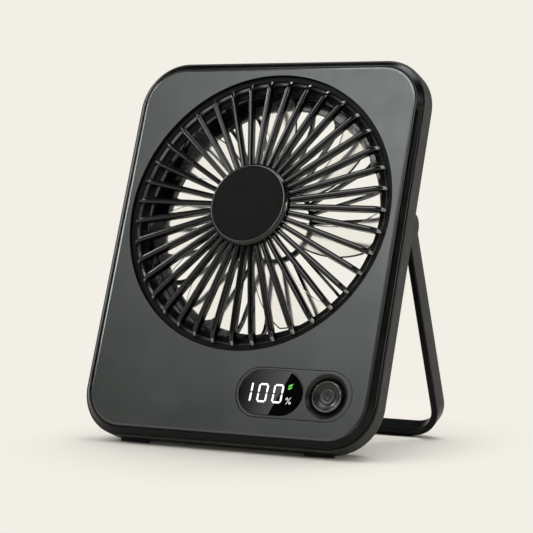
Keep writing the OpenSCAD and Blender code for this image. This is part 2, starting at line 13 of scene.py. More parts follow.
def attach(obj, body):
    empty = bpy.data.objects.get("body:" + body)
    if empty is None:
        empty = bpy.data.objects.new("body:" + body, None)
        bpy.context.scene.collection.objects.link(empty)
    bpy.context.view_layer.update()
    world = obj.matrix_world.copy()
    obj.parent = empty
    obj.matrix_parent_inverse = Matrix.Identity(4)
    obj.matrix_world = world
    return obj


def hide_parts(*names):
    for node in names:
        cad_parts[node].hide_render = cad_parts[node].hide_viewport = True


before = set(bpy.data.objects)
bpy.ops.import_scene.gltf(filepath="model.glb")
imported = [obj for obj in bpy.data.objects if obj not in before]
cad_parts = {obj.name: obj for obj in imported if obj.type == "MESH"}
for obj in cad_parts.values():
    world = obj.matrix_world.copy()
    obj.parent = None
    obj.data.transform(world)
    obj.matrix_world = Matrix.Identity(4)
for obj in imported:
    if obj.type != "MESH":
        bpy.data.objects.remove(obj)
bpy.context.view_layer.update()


def placed(name, data):
    """A new object in the scene."""
    item = bpy.data.objects.new(name, data)
    bpy.context.scene.collection.objects.link(item)
    return item


# ---- camera ----

camera = placed("camera", bpy.data.cameras.new("camera"))
camera.location = (0.4179, -0.8052, 0.12304)
camera.rotation_euler = (1.522044, -0.009216, 0.481050)
camera.data.lens = 134.4
camera.data.sensor_width = 36
camera.data.sensor_fit = "HORIZONTAL"
camera.data.clip_start = 0.01
camera.data.clip_end = 40
bpy.context.scene.camera = camera
bpy.context.scene.view_settings.view_transform = "Standard"

# ---- sizes in millimetres, turns and pitches in degrees; z is out of the face ----

PANEL_WIDTH = 138
PANEL_HEIGHT = 172
PANEL_CORNER = 18
TRIM_WIDE = 0.8
TRIM_DEEP = 0.18
FAN_UP = 102.9
HINGE_UP = 103
HINGE_Z = -17.6
PLATE_UP = 19.6
BUTTON_ACROSS = 49.2

POSTS = [(56, 160), (20, 6.4), (60, 46)]
SCREW_Z = -21.45
HEAD_RADIUS = 2.2
HEAD_TALL = 1.4
SLOT_REACH = 1.35
SLOT_HALF = 0.26
SHANK_RADIUS = 1.0
SHANK_END = -12.4

FRONT_RIBS = 39
FIRST_RIB = 1.4
RIB_ROOT = 16.5
RIB_FRONT = 7.1
RIB_BACK = 3.5
RIB_FALL = 0.11
RIB_HALF_WIDTHS = [(RIB_ROOT, 1.08), (30, 1.2), (44, 1.32), (57.9, 1.3)]
HOOK_OUT = 57.18
HOOK_Z = -4.41
HOOK_RADIUS = 7
HOOK_DEEP = 3.6
HOOK_THINNING = 0.2
HOOK_START = 6
HOOK_TURNS = [15, 23, 31, 39]
HOOK_HALF_WIDTH = 1.26
# Rib faces past this distance out get the lighter tip grey, a painted highlight.
GLINT_TIP_START = 61.9
HUB_RADIUS = 18.2
HUB_BACK = 3.1
GRILLE_SEAT = -4.3
RING_INSIDE = 62.4
RING_OUTSIDE = 65.5
RING_FRONT = -1.6
FLANGE_RADIUS = 68.7
FLANGE_FRONT = -3.1
LIP_INSIDE = 61.4
DUCT_INSIDE = 58.72
DUCT_SKIN = 58.78
CAP_RADIUS = 17.6
CAP_FRONT = 9.85
CAP_BACK = 7.3

REAR_RIBS = 24
FIRST_REAR_RIB = 4
REAR_FACE = -22.4
REAR_RIB_ROOT = 16.6
REAR_RIB_FRONT = -20.4
REAR_RIB_WIDE = 1.3
REAR_RIM_RADIUS = 58.7

BLADES = 7
FIRST_BLADE = 30
BLADE_FRONT = 0.2
BLADE_DROP = 3.0
BLADE_ROOT = 13.3
BLADE_TIP = 56.9
ROOT_CHORD = 11
TIP_CHORD = 27
ROOT_PITCH = 44
TIP_PITCH = 21
CAMBER = 0.09
BLADE_SWEEP = 16
BLADE_THICK = 1.0
WHEEL_HUB = 13.5
WHEEL_BORE = 3.1
WHEEL_FRONT = 1.15
WHEEL_BACK = -9.55

BAIL_REACH = 104.815
BAIL_CORNER = 15
STRAP_THICK = 3.2
STRAP_WIDE = 9.6
PIN_HEAD_RADIUS = 5.9
PIN_HEAD_TALL = 4.0

BUTTON_BACK = -2.6
BUTTON_RADIUS = 7.0
LENS_LEFT = 6.9
LENS_RIGHT = 37.9
LENS_HALF = 10
LENS_CORNER = 9.99
LENS_THICK = 1.35
LIT_BACK = -0.17
LIT_THICK = 0.05
STROKE_WIDE = 0.85
STROKE_GAP = 0.12
DIGIT_SLANT = 0.05
DIGIT_WIDE = 4
DIGIT_LOW = 15.55
DIGIT_HIGH = 23.25

# ---- places: from millimetres on the face to metres in the room ----

LEAN = math.radians(20)
FOLD = math.radians(43)
STANDING = Matrix.Translation((0, -0.04862963, 0.007889396))
ON_FACE = STANDING @ Matrix.Rotation(math.pi / 2 - LEAN, 4, "X") @ Matrix.Scale(0.001, 4)
ON_FAN = ON_FACE @ Matrix.Translation((0, FAN_UP, 0))
ON_HINGE = ON_FACE @ Matrix.Translation((0, HINGE_UP, HINGE_Z)) @ Matrix.Rotation(FOLD, 4, "X")
ON_BUTTON = ON_FACE @ Matrix.Translation((BUTTON_ACROSS, PLATE_UP, 0))


# ---- shaping ----

def moved(mesh, place):
    """The shape brought to its place by a matrix."""
    bmesh.ops.transform(mesh, matrix=place, verts=mesh.verts)
    return mesh


def outline(corners, upright=True, arc=6):
    """A face from (across, along, radius) corners, in the x-z plane or the x-y plane."""
    mesh = bmesh.new()
    points = []
    for across, along, radius in corners:
        place = (across, 0, along) if upright else (across, along, 0)
        points.append(mesh.verts.new(place))
    mesh.faces.new(points)
    for size in sorted({radius for across, along, radius in corners if radius > 0}):
        chosen = [point for point, corner in zip(points, corners) if corner[2] == size]
        bmesh.ops.bevel(mesh, geom=chosen, offset=size, offset_type="OFFSET", segments=arc,
                        profile=0.5, affect="VERTICES", material=-1)
    return mesh


def turned(corners, steps=96):
    """The outline turned about z; an edge that lies on the axis is left out."""
    mesh = outline(corners, arc=4)
    bmesh.ops.delete(mesh, geom=mesh.faces[:], context="FACES_ONLY")
    middle = [edge for edge in mesh.edges if all(abs(point.co.x) < 1e-4 for point in edge.verts)]
    bmesh.ops.delete(mesh, geom=middle, context="EDGES")
    bmesh.ops.spin(mesh, geom=mesh.verts[:] + mesh.edges[:], cent=(0, 0, 0), axis=(0, 0, 1),
                   angle=math.tau, steps=steps, use_merge=True)
    bmesh.ops.remove_doubles(mesh, verts=mesh.verts, dist=0.001)
    return mesh


def pushed(mesh, way):
    """The flat face given a thickness along way."""
    grown = bmesh.ops.extrude_face_region(mesh, geom=mesh.faces[:])
    raised = [item for item in grown["geom"] if isinstance(item, bmesh.types.BMVert)]
    bmesh.ops.translate(mesh, verts=raised, vec=way)
    bmesh.ops.recalc_face_normals(mesh, faces=mesh.faces)
    return mesh


def slab(corners, low, thick, arc=6):
    """A flat plate between z = low and z = low + thick."""
    plate = pushed(outline(corners, upright=False, arc=arc), (0, 0, thick))
    return moved(plate, Matrix.Translation((0, 0, low)))


def eased(mesh, width, segments=2, sharper_than=40, chosen=None, clamp=True):
    """Sharp edges rounded over: all of them, or those whose middle is chosen."""
    edges = []
    for edge in mesh.edges:
        if len(edge.link_faces) == 2 and edge.calc_face_angle(0) > math.radians(sharper_than):
            if chosen is None or chosen((edge.verts[0].co + edge.verts[1].co) / 2):
                edges.append(edge)
    bmesh.ops.bevel(mesh, geom=edges, offset=width, offset_type="OFFSET", segments=segments,
                    profile=0.5, affect="EDGES", material=-1, clamp_overlap=clamp)
    return mesh


def around(mesh, count, start=0):
    """Copies of the shape evenly round the z axis, the first turned by start degrees."""
    moved(mesh, Matrix.Rotation(math.radians(start), 4, "Z"))
    everything = mesh.verts[:] + mesh.edges[:] + mesh.faces[:]
    bmesh.ops.spin(mesh, geom=everything, cent=(0, 0, 0), axis=(0, 0, 1),
                   angle=math.tau * (count - 1) / count, steps=count - 1, use_duplicate=True)
    return mesh


def gathered(*parts):
    """Several shapes in one mesh."""
    whole = bmesh.new()
    for part in parts:
        shape = bpy.data.meshes.new("part")
        part.to_mesh(shape)
        part.free()
        whole.from_mesh(shape)
        bpy.data.meshes.remove(shape)
    return whole


def copied(node):
    """A copy of a plain moulding, in millimetres on the face, with its flat facets joined."""
    mesh = bmesh.new()
    mesh.from_mesh(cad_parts[node].data)
    bmesh.ops.remove_doubles(mesh, verts=mesh.verts, dist=2e-6)
    bmesh.ops.dissolve_limit(mesh, angle_limit=math.radians(0.6), verts=mesh.verts, edges=mesh.edges)
    return moved(mesh, ON_FACE.inverted())


def settled(name, mesh, place, body, finish, stands_for=(), crease=35, second=None):
    """Places the shape, shades it smooth up to the crease angle and hangs it on its body."""
    bmesh.ops.recalc_face_normals(mesh, faces=mesh.faces)
    for face in mesh.faces:
        face.smooth = True
    shape = bpy.data.meshes.new(name)
    mesh.to_mesh(shape)
    mesh.free()
    shape.transform(place)
    shape.set_sharp_from_angle(angle=math.radians(crease))
    shape.materials.append(FINISHES[finish])
    if second:
        shape.materials.append(FINISHES[second])
    piece = placed(name, shape)
    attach(piece, body)
    if stands_for:
        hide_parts(*stands_for)
    even = piece.modifiers.new("flat_faces", "WEIGHTED_NORMAL")
    even.keep_sharp = True
    even.weight = 95


# ---- shader parts ----

def shade(value):
    """Linear colour from 0-255 display values."""
    linear = []
    for part in value:
        level = part / 255
        linear.append(level / 12.92 if level <= 0.04045 else ((level + 0.055) / 1.055) ** 2.4)
    return (*linear, 1)


BACKDROP = shade((242, 239, 230))
OVERHEAD = shade((52, 52, 52))


def new_finish(name, **sockets):
    """A material, its tree and its shader, with the given sockets set."""
    material = bpy.data.materials.new(name)
    material.use_nodes = True
    shader = material.node_tree.nodes["Principled BSDF"]
    for socket, value in sockets.items():
        shader.inputs[socket.replace("_", " ")].default_value = value
    return material, material.node_tree, shader


def coordinates(tree, kind, stretch=None):
    """Texture coordinates of one kind, scaled along the axes where stretch is given."""
    place = tree.nodes.new("ShaderNodeTexCoord").outputs[kind]
    if stretch:
        mapping = tree.nodes.new("ShaderNodeMapping")
        mapping.inputs["Scale"].default_value = stretch
        tree.links.new(place, mapping.inputs["Vector"])
        place = mapping.outputs["Vector"]
    return place


def spots(tree, size_mm, detail=2.0, stretch=None):
    """Noise with features of about the given size, fixed to the piece."""
    noise = tree.nodes.new("ShaderNodeTexNoise")
    noise.inputs["Scale"].default_value = 1000 / size_mm
    noise.inputs["Detail"].default_value = detail
    tree.links.new(coordinates(tree, "Object", stretch), noise.inputs["Vector"])
    return noise.outputs["Fac"]


def ranged(tree, value, start, end, low=0.0, high=1.0, smooth=False):
    """The stretch of value from start to end mapped onto low to high, and held past its ends."""
    span = tree.nodes.new("ShaderNodeMapRange")
    if smooth:
        span.interpolation_type = "SMOOTHSTEP"
    span.inputs["From Min"].default_value = start
    span.inputs["From Max"].default_value = end
    span.inputs["To Min"].default_value = low
    span.inputs["To Max"].default_value = high
    tree.links.new(value, span.inputs["Value"])
    return span.outputs["Result"]


def between(tree, noise, low=0.0, high=1.0):
    """Noise, which mostly keeps to 0.3 to 0.7, spread over low to high."""
    return ranged(tree, noise, 0.3, 0.7, low, high)


def blended(tree, value, first, second):
    """A colour between the first and the second."""
    mix = tree.nodes.new("ShaderNodeMix")
    mix.data_type = "RGBA"
    mix.inputs["A"].default_value = first
    mix.inputs["B"].default_value = second
    tree.links.new(value, mix.inputs["Factor"])
    return mix.outputs["Result"]


def roughened(tree, shader, value, strength, height_mm):
    """Fine bumps of the given height."""
    bump = tree.nodes.new("ShaderNodeBump")
    bump.inputs["Strength"].default_value = strength
    bump.inputs["Distance"].default_value = height_mm / 1000
    tree.links.new(value, bump.inputs["Height"])
    tree.links.new(bump.outputs["Normal"], shader.inputs["Normal"])


def moulded(name, dark, light, rough, grain_mm, height_mm, cloud_mm, **sockets):
    """Moulded plastic or rubber: two close shades in soft clouds, fine grain, uneven polish."""
    material, tree, shader = new_finish(name, **sockets)
    clouds = between(tree, spots(tree, cloud_mm, 3))
    tree.links.new(blended(tree, clouds, shade(dark), shade(light)), shader.inputs["Base Color"])
    tree.links.new(between(tree, spots(tree, cloud_mm / 3, 4), *rough), shader.inputs["Roughness"])
    roughened(tree, shader, spots(tree, grain_mm, 3), 0.5, height_mm)
    return material


def metal(name, dark, light, rough, stretch, grain_mm):
    """Drawn or turned metal with fine lines along one axis."""
    material, tree, shader = new_finish(name, Metallic=1.0)
    lines = spots(tree, grain_mm, 4, stretch)
    colour = blended(tree, between(tree, lines), shade(dark), shade(light))
    tree.links.new(colour, shader.inputs["Base Color"])
    tree.links.new(between(tree, spots(tree, 2.5, 3), *rough), shader.inputs["Roughness"])
    roughened(tree, shader, lines, 0.3, 0.01)
    return material


def clear_moulding(name):
    """Clear plastic with a faint unevenness, which lets nearly all light through unbent."""
    material, tree, shader = new_finish(name, IOR=1.08, Transmission_Weight=0.98)
    tint = blended(tree, between(tree, spots(tree, 7, 3)), shade((251, 250, 247)), shade((255, 254, 252)))
    tree.links.new(tint, shader.inputs["Base Color"])
    tree.links.new(between(tree, spots(tree, 6, 2), 0.3, 0.36), shader.inputs["Roughness"])
    roughened(tree, shader, spots(tree, 2.5, 1), 0.15, 0.001)
    return material


def lit(name, dark, light, strength):
    """Lit display segment: even glow with faint unevenness of the diffuser."""
    material, tree, shader = new_finish(name, Roughness=0.5, Emission_Strength=strength)
    glow = blended(tree, between(tree, spots(tree, 0.9, 2)), shade(dark), shade(light))
    tree.links.new(glow, shader.inputs["Base Color"])
    tree.links.new(glow, shader.inputs["Emission Color"])
    return material


# ---- finishes ----

PLASTICS = {
    "satin_grey": dict(dark=(61, 64, 62), light=(67, 70, 68), rough=(0.38, 0.44),
                       grain_mm=0.35, height_mm=0.003, cloud_mm=26, Metallic=0.72),
    "plate_grey": dict(dark=(60, 63, 61), light=(66, 69, 67), rough=(0.38, 0.44),
                       grain_mm=0.35, height_mm=0.003, cloud_mm=20, Metallic=0.72),
    # Edge slope of the panel: its lighter, bluish colour is a painted highlight; its higher gloss is real.
    "panel_trim_highlight": dict(dark=(78, 81, 83), light=(84, 87, 89), rough=(0.17, 0.22),
                       grain_mm=0.5, height_mm=0.001, cloud_mm=20, Metallic=0.7),
    "black_gloss": dict(dark=(3, 3, 3), light=(5, 5, 5), rough=(0.2, 0.28),
                        grain_mm=0.5, height_mm=0.002, cloud_mm=30, Specular_IOR_Level=0.2),
    "black_matt": dict(dark=(7, 7, 7), light=(10, 10, 10), rough=(0.13, 0.17),
                       grain_mm=0.7, height_mm=0.001, cloud_mm=8, Specular_IOR_Level=0.4),
    # Lighter metallic grey for the rib tips: a painted highlight standing for glints, not a different
    # plastic.
    "tip_glint_grey": dict(dark=(128, 129, 125), light=(140, 141, 137), rough=(0.16, 0.2),
                     grain_mm=0.4, height_mm=0.001, cloud_mm=5, Metallic=0.85),
    "ring_black": dict(dark=(8, 9, 8), light=(11, 12, 11), rough=(0.5, 0.6),
                       grain_mm=0.4, height_mm=0.004, cloud_mm=10, Specular_IOR_Level=0.07),
    # Light grey for the ring's lip and the button's rim: a painted highlight.
    "lip_highlight_grey": dict(dark=(104, 106, 105), light=(114, 116, 115), rough=(0.2, 0.26),
                     grain_mm=0.5, height_mm=0.001, cloud_mm=9, Metallic=0.75),
    "liner_black": dict(dark=(14, 14, 14), light=(18, 18, 18), rough=(0.08, 0.13),
                        grain_mm=1.5, height_mm=0.001, cloud_mm=12),
    "cap_black": dict(dark=(6, 6, 5), light=(8, 8, 7), rough=(0.6, 0.7),
                      grain_mm=0.28, height_mm=0.006, cloud_mm=12, Specular_IOR_Level=0.08),
    "rim_black": dict(dark=(12, 12, 12), light=(16, 16, 16), rough=(0.1, 0.16),
                      grain_mm=0.6, height_mm=0.001, cloud_mm=9),
    # Dark grey on the clear blades' edge faces: painted shade standing for light bent at the edges.
    "blade_edge_shade": dict(dark=(40, 42, 38), light=(50, 52, 46), rough=(0.25, 0.35),
                       grain_mm=0.4, height_mm=0.002, cloud_mm=5),
    "housing_grey": dict(dark=(33, 34, 32), light=(38, 39, 37), rough=(0.42, 0.52),
                         grain_mm=0.3, height_mm=0.006, cloud_mm=14, Specular_IOR_Level=0.25),
    "stand_black": dict(dark=(10, 10, 10), light=(14, 14, 13), rough=(0.3, 0.38),
                        grain_mm=0.3, height_mm=0.004, cloud_mm=12, Specular_IOR_Level=0.15),
    "button_black": dict(dark=(9, 9, 9), light=(12, 12, 12), rough=(0.32, 0.38),
                         grain_mm=0.6, height_mm=0.001, cloud_mm=6, Specular_IOR_Level=0.5),
    "button_grey": dict(dark=(56, 57, 56), light=(62, 63, 62), rough=(0.3, 0.36),
                        grain_mm=0.5, height_mm=0.002, cloud_mm=4, Metallic=0.6),
    "well_black": dict(dark=(34, 35, 34), light=(40, 41, 40), rough=(0.3, 0.36),
                       grain_mm=0.4, height_mm=0.002, cloud_mm=5, Metallic=0.6),
    # Near-black for the printed power mark and, as painted shade, the lower part of the well round the
    # button.
    "mark_and_shade_black": dict(dark=(5, 5, 5), light=(8, 8, 8), rough=(0.5, 0.6),
                       grain_mm=0.3, height_mm=0.003, cloud_mm=3, Specular_IOR_Level=0.1),
    "lens_black": dict(dark=(3, 3, 4), light=(5, 5, 6), rough=(0.004, 0.012),
                       grain_mm=3.0, height_mm=0.0002, cloud_mm=12),
    "board_green": dict(dark=(12, 40, 24), light=(18, 50, 30), rough=(0.3, 0.5),
                        grain_mm=0.6, height_mm=0.02, cloud_mm=3),
    "switch_black": dict(dark=(30, 30, 31), light=(38, 38, 39), rough=(0.4, 0.55),
                         grain_mm=0.3, height_mm=0.006, cloud_mm=4),
    "cell_foil": dict(dark=(176, 180, 184), light=(196, 200, 203), rough=(0.22, 0.4),
                      grain_mm=1.4, height_mm=0.03, cloud_mm=6, Metallic=0.9),
    "foam": dict(dark=(34, 34, 35), light=(54, 54, 55), rough=(0.85, 1.0),
                 grain_mm=0.5, height_mm=0.2, cloud_mm=1.5),
    "magnet": dict(dark=(58, 58, 60), light=(74, 74, 76), rough=(0.45, 0.6),
                   grain_mm=0.4, height_mm=0.02, cloud_mm=3, Metallic=0.6),
    "nylon": dict(dark=(214, 208, 190), light=(226, 221, 206), rough=(0.35, 0.5),
                  grain_mm=0.4, height_mm=0.006, cloud_mm=4),
    "rubber_black": dict(dark=(18, 18, 18), light=(26, 26, 26), rough=(0.65, 0.85),
                         grain_mm=0.4, height_mm=0.03, cloud_mm=3, Specular_IOR_Level=0.25),
    "lead_black": dict(dark=(22, 22, 22), light=(30, 30, 30), rough=(0.4, 0.6),
                       grain_mm=0.5, height_mm=0.01, cloud_mm=3),
    "lead_red": dict(dark=(150, 28, 26), light=(170, 38, 34), rough=(0.35, 0.5),
                     grain_mm=0.5, height_mm=0.01, cloud_mm=3),
}
METALS = {
    "lamination": dict(dark=(104, 106, 109), light=(138, 140, 143), rough=(0.35, 0.5),
                       stretch=(0.2, 0.2, 14), grain_mm=1.6),
    "copper": dict(dark=(158, 88, 40), light=(196, 118, 58), rough=(0.22, 0.38),
                   stretch=(0.3, 0.3, 16), grain_mm=1.4),
    "steel": dict(dark=(176, 178, 180), light=(204, 205, 206), rough=(0.2, 0.34),
                  stretch=(1, 1, 12), grain_mm=1.2),
}
FINISHES = {name: moulded(name, **facts) for name, facts in PLASTICS.items()}
FINISHES.update({name: metal(name, **facts) for name, facts in METALS.items()})
FINISHES["clear_plastic"] = clear_moulding("clear_plastic")
FINISHES["display_white"] = lit("display_white", (232, 234, 232), (252, 252, 250), 0.85)
FINISHES["leaf_green"] = lit("leaf_green", (60, 176, 44), (84, 204, 60), 0.7)

WORN_BY = {
    "satin_grey": ["face_panel"],
    "plate_grey": ["control_plate"],
    "black_gloss": ["front_bezel"],
    "housing_grey": ["rear_shell"],
    "display_white": ["display_module"],
    "board_green": ["main_board"],
    "steel": ["usb_socket", "motor_shaft", "motor_bearings", "pivot_pin_left", "pivot_pin_right",
              "friction_washer_left", "friction_washer_right", "rotor_cup", "grille_screws",
              "board_screws", "housing_screws"],
    "switch_black": ["switch_plunger", "tact_switch"],
    "cell_foil": ["battery_cells"],
    "foam": ["battery_pad"],
    "magnet": ["rotor_magnet"],
    "lamination": ["stator_core"],
    "copper": ["stator_coils"],
    "nylon": ["pivot_bushing_left", "pivot_bushing_right"],
    "rubber_black": ["body_feet", "stand_feet"],
    "lead_black": ["motor_lead"],
    "lead_red": ["battery_lead"],
    "black_matt": ["front_grille", "grille_cap", "rear_grille", "motor_base", "power_button"],
    "clear_plastic": ["impeller"],
    "lens_black": ["display_lens"],
}
for worn, names in WORN_BY.items():
    for name in names:
        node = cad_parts[name]
        node.data.materials.clear()
        node.data.materials.append(FINISHES[worn])


# ---- face, bezel and housing ----

def trimmed_panel():
    """The face panel with a shallow slope along its outer edge, in its second finish, whose lighter colour
    is a painted highlight.
    """
    mesh = copied("face_panel")
    front = [face for face in mesh.faces if face.normal.z > 0.99 and face.calc_center_median().z > -0.05]
    slopes = bmesh.ops.inset_region(mesh, faces=front, thickness=TRIM_WIDE, use_even_offset=True)["faces"]
    inner = {point for face in front for point in face.verts}
    for face in slopes:
        middle = face.calc_center_median()
        past_side = abs(middle.x) - (PANEL_WIDTH / 2 - PANEL_CORNER)
        past_end = abs(middle.y - PANEL_HEIGHT / 2) - (PANEL_HEIGHT / 2 - PANEL_CORNER)
        if math.hypot(max(past_side, 0), max(past_end, 0)) > PANEL_CORNER - TRIM_WIDE:
            face.material_index = 1
            for point in face.verts:
                if point not in inner:
                    point.co.z = -TRIM_DEEP
    return mesh


def softened(node, width, chosen):
    """A plain moulding whose chosen edges are rounded over."""
    return eased(copied(node), width, sharper_than=25, chosen=chosen, clamp=False)


def plate_front(spot):
    """On the control plate's front edge."""
    return spot.z > -0.3


def bezel_front(spot):
    """On the bezel's front, more than 90 mm from the panel's middle across and up together."""
    return spot.z > -2.5 and abs(spot.x) + abs(spot.y - PANEL_HEIGHT / 2) > 90


def case_screw():
    """Cross-head screw with the top of its head at z = 0 and its shank below."""
    deep = 0.6 * HEAD_TALL
    side = 0.75 * SLOT_REACH
    foot = turned([(0, -HEAD_TALL, 0), (HEAD_RADIUS, -HEAD_TALL, 0.05), (HEAD_RADIUS, -deep, 0),
                   (0, -deep, 0)], 40)
    rim = turned([(SLOT_REACH, -deep, 0), (HEAD_RADIUS, -deep, 0), (HEAD_RADIUS - 0.25, 0, 0.2),
                  (SLOT_REACH, 0, 0.05)], 40)
    wedge = slab([(SLOT_HALF, SLOT_HALF, 0), (SLOT_REACH, SLOT_HALF, 0), (side, side, 0),
                  (SLOT_HALF, SLOT_REACH, 0)], -deep, deep)
    shank = turned([(0, SHANK_END, 0.1), (SHANK_RADIUS, SHANK_END, 0.3), (SHANK_RADIUS, -1.3, 0),
                    (0, -1.3, 0)], 24)
    return gathered(foot, rim, around(wedge, 4), shank)


def case_screws():
    """The screws in the housing's back, a pair at each height."""
    screws = []
    for across, up in POSTS:
        for side in (-1, 1):
            place = Matrix.Translation((side * across, up, SCREW_Z)) @ Matrix.Rotation(math.pi, 4, "X")
            screws.append(moved(case_screw(), place))
    return gathered(*screws)


settled("panel", trimmed_panel(), ON_FACE, "housing", "satin_grey", ["face_panel"],
        crease=9, second="panel_trim_highlight")
settled("control_pill", softened("control_plate", 0.3, plate_front), ON_FACE, "housing",
        "plate_grey", ["control_plate"])
settled("bezel", softened("front_bezel", 0.25, bezel_front), ON_FACE, "housing",
        "black_gloss", ["front_bezel"])
settled("case_screws", case_screws(), ON_FACE, "housing", "steel", ["housing_screws"])


# ---- front grille ----

def rib_section(front, back, half_width):
    """Half-round section between a front and a back point of the side view."""
    front = Vector((front[0], 0, front[1]))
    back = Vector((back[0], 0, back[1]))
    tall = (front - back).length
    way = (front - back) / tall
    crown = min(half_width, 0.8 * tall)
    steps = 8
    points = [back + Vector((0, half_width, 0))]
    for step in range(steps + 1):
        turn = math.pi * step / steps
        points.append(back + way * (tall - crown + crown * math.sin(turn))
                      + Vector((0, half_width * math.cos(turn), 0)))
    points.append(back - Vector((0, half_width, 0)))
    return points


def hook_point(angle, radius):
    """A point of the rib's bend in the side view."""
    return (HOOK_OUT + radius * math.sin(angle), HOOK_Z + radius * math.cos(angle))


def rib_stations():
    """Front point, back point and half width of a rib, from the hub over its bend to the tip."""
    stations = []
    for out, half_width in RIB_HALF_WIDTHS:
        fall = RIB_FALL * (out - RIB_ROOT)
        stations.append(((out, RIB_FRONT - fall), (out, RIB_BACK - fall), half_width))
    for degrees in HOOK_TURNS:
        angle = math.radians(degrees)
        deep = HOOK_DEEP - HOOK_THINNING * (degrees - HOOK_START) / (HOOK_TURNS[-1] - HOOK_START)
        front = hook_point(angle, HOOK_RADIUS)
        back = hook_point(angle, HOOK_RADIUS - deep)
        stations.append((front, back, HOOK_HALF_WIDTH))
    stations += [((62.5, 0.25), (61.0, -2.2), 1.2), ((63.1, -0.3), (62.0, -2.15), 1.12),
                 ((63.4, -0.75), (62.8, -2.15), 1.0), ((63.48, -1.3), (63.2, -2.1), 0.82)]
    return stations


def front_rib():
    """One rib, bridged through its sections, with its tip in the second finish, a lighter grey that is a
    painted highlight.
    """
    mesh = bmesh.new()
    rings = []
    for station in rib_stations():
        rings.append(mesh.faces.new([mesh.verts.new(point) for point in rib_section(*station)]))
    for first, second in zip(rings, rings[1:]):
        bmesh.ops.bridge_loops(mesh, edges=first.edges[:] + second.edges[:])
    bmesh.ops.delete(mesh, geom=rings[1:-1], context="FACES_ONLY")
    bmesh.ops.recalc_face_normals(mesh, faces=mesh.faces)
    # Tip faces take the second finish, the painted highlight.
    for face in mesh.faces:
        if face.calc_center_median().x > GLINT_TIP_START:
            face.material_index = 1
    return mesh


def front_ribs():
    """All ribs and the hub that they leave."""
    hub = turned([(0, HUB_BACK, 0), (HUB_RADIUS, HUB_BACK, 0.5), (HUB_RADIUS, RIB_FRONT, 0),
                  (0, RIB_FRONT, 0)])
    return gathered(around(front_rib(), FRONT_RIBS, FIRST_RIB), hub)


def grille_ring():
    """Ring over which the ribs hook, with the flange behind the panel."""
    return turned([(RING_INSIDE, GRILLE_SEAT, 0), (FLANGE_RADIUS, GRILLE_SEAT, 0),
                   (FLANGE_RADIUS, FLANGE_FRONT, 0), (RING_OUTSIDE, FLANGE_FRONT, 0),
                   (RING_OUTSIDE, RING_FRONT, 0.35), (RING_INSIDE + 0.8, RING_FRONT, 0.15),
                   (RING_INSIDE, -2.05, 0)], 144)


def ring_lip():
    """Lip inside the ring, in light grey as a painted highlight."""
    return turned([(LIP_INSIDE, GRILLE_SEAT, 0), (RING_INSIDE + 0.05, GRILLE_SEAT, 0),
                   (RING_INSIDE + 0.05, -2.03, 0.1), (LIP_INSIDE, -2.7, 0.25)], 144)


def duct_liner():
    """Thin gloss skin inside the duct."""
    return turned([(DUCT_INSIDE, -13.8, 0), (DUCT_SKIN, -13.8, 0), (DUCT_SKIN, -5.5, 0),
                   (DUCT_INSIDE, -5.5, 0)], 144)


def duct_rim():
    """Thin cover over the duct's front edge."""
    return turned([(DUCT_INSIDE, -5.49, 0), (DUCT_SKIN, -5.49, 0), (DUCT_SKIN, -4.33, 0),
                   (61.35, -4.33, 0), (61.35, -4.27, 0), (DUCT_INSIDE, -4.27, 0)], 144)


def centre_cap():
    """Flat disc in the middle of the grille."""
    return turned([(0, CAP_BACK, 0), (CAP_RADIUS, CAP_BACK, 0), (CAP_RADIUS, 9.7, 0.1),
                   (CAP_RADIUS - 0.3, CAP_FRONT, 0.1), (0, CAP_FRONT, 0)], 128)


def cap_rim():
    """Polished rim round the cap's disc."""
    inside = CAP_RADIUS + 0.05
    return turned([(inside, 7.25, 0), (19.3, 7.25, 0.2), (19.4, 8.3, 0.5), (18.2, 9.98, 0.4),
                   (inside, 9.9, 0.1)], 128)


settled("front_ribs", front_ribs(), ON_FAN, "housing", "black_matt", ["front_grille"],
        second="tip_glint_grey")
settled("grille_ring", grille_ring(), ON_FAN, "housing", "ring_black", ["front_grille"])
settled("ring_lip", ring_lip(), ON_FAN, "housing", "lip_highlight_grey", ["front_grille"])
settled("duct_liner", duct_liner(), ON_FAN, "housing", "liner_black")
settled("duct_rim", duct_rim(), ON_FAN, "housing", "ring_black")
settled("centre_cap", centre_cap(), ON_FAN, "housing", "cap_black", ["grille_cap"])
settled("cap_rim", cap_rim(), ON_FAN, "housing", "rim_black", ["grille_cap"])


# ---- rear grille ----

def rear_rib():
    """One rib, straight from the small ring and bent forward at the rim."""
    mesh = outline([(REAR_RIB_ROOT, REAR_FACE, 0), (50.0, REAR_FACE, 4), (54.8, -19.6, 2),
                    (55.0, -15.4, 0), (53.5, -15.4, 0.4), (52.6, -18.6, 2),
                    (48.2, REAR_RIB_FRONT, 2), (REAR_RIB_ROOT, REAR_RIB_FRONT, 0)], arc=4)
    pushed(mesh, (0, REAR_RIB_WIDE, 0))
    moved(mesh, Matrix.Translation((0, -REAR_RIB_WIDE / 2, 0)))
    return eased(mesh, 0.3)


def rear_ribs():
    """All ribs with the rim at their ends and the small ring at their roots."""
    rim = turned([(54.0, -14.0, 0.4), (REAR_RIM_RADIUS, -14.0, 0.3), (REAR_RIM_RADIUS, REAR_FACE, 0.3),
                  (57.5, REAR_FACE, 0.3), (57.5, -16, 0), (54.0, -16.0, 0)], 128)
    small_ring = turned([(16.4, -20.3, 0.3), (18.6, -20.3, 0.3), (18.6, -22.5, 0.3), (16.4, -22.5, 0.3)])
    return gathered(around(rear_rib(), REAR_RIBS, FIRST_REAR_RIB), rim, small_ring)


settled("rear_ribs", rear_ribs(), ON_FAN, "housing", "black_matt", ["rear_grille"])


# ---- impeller ----

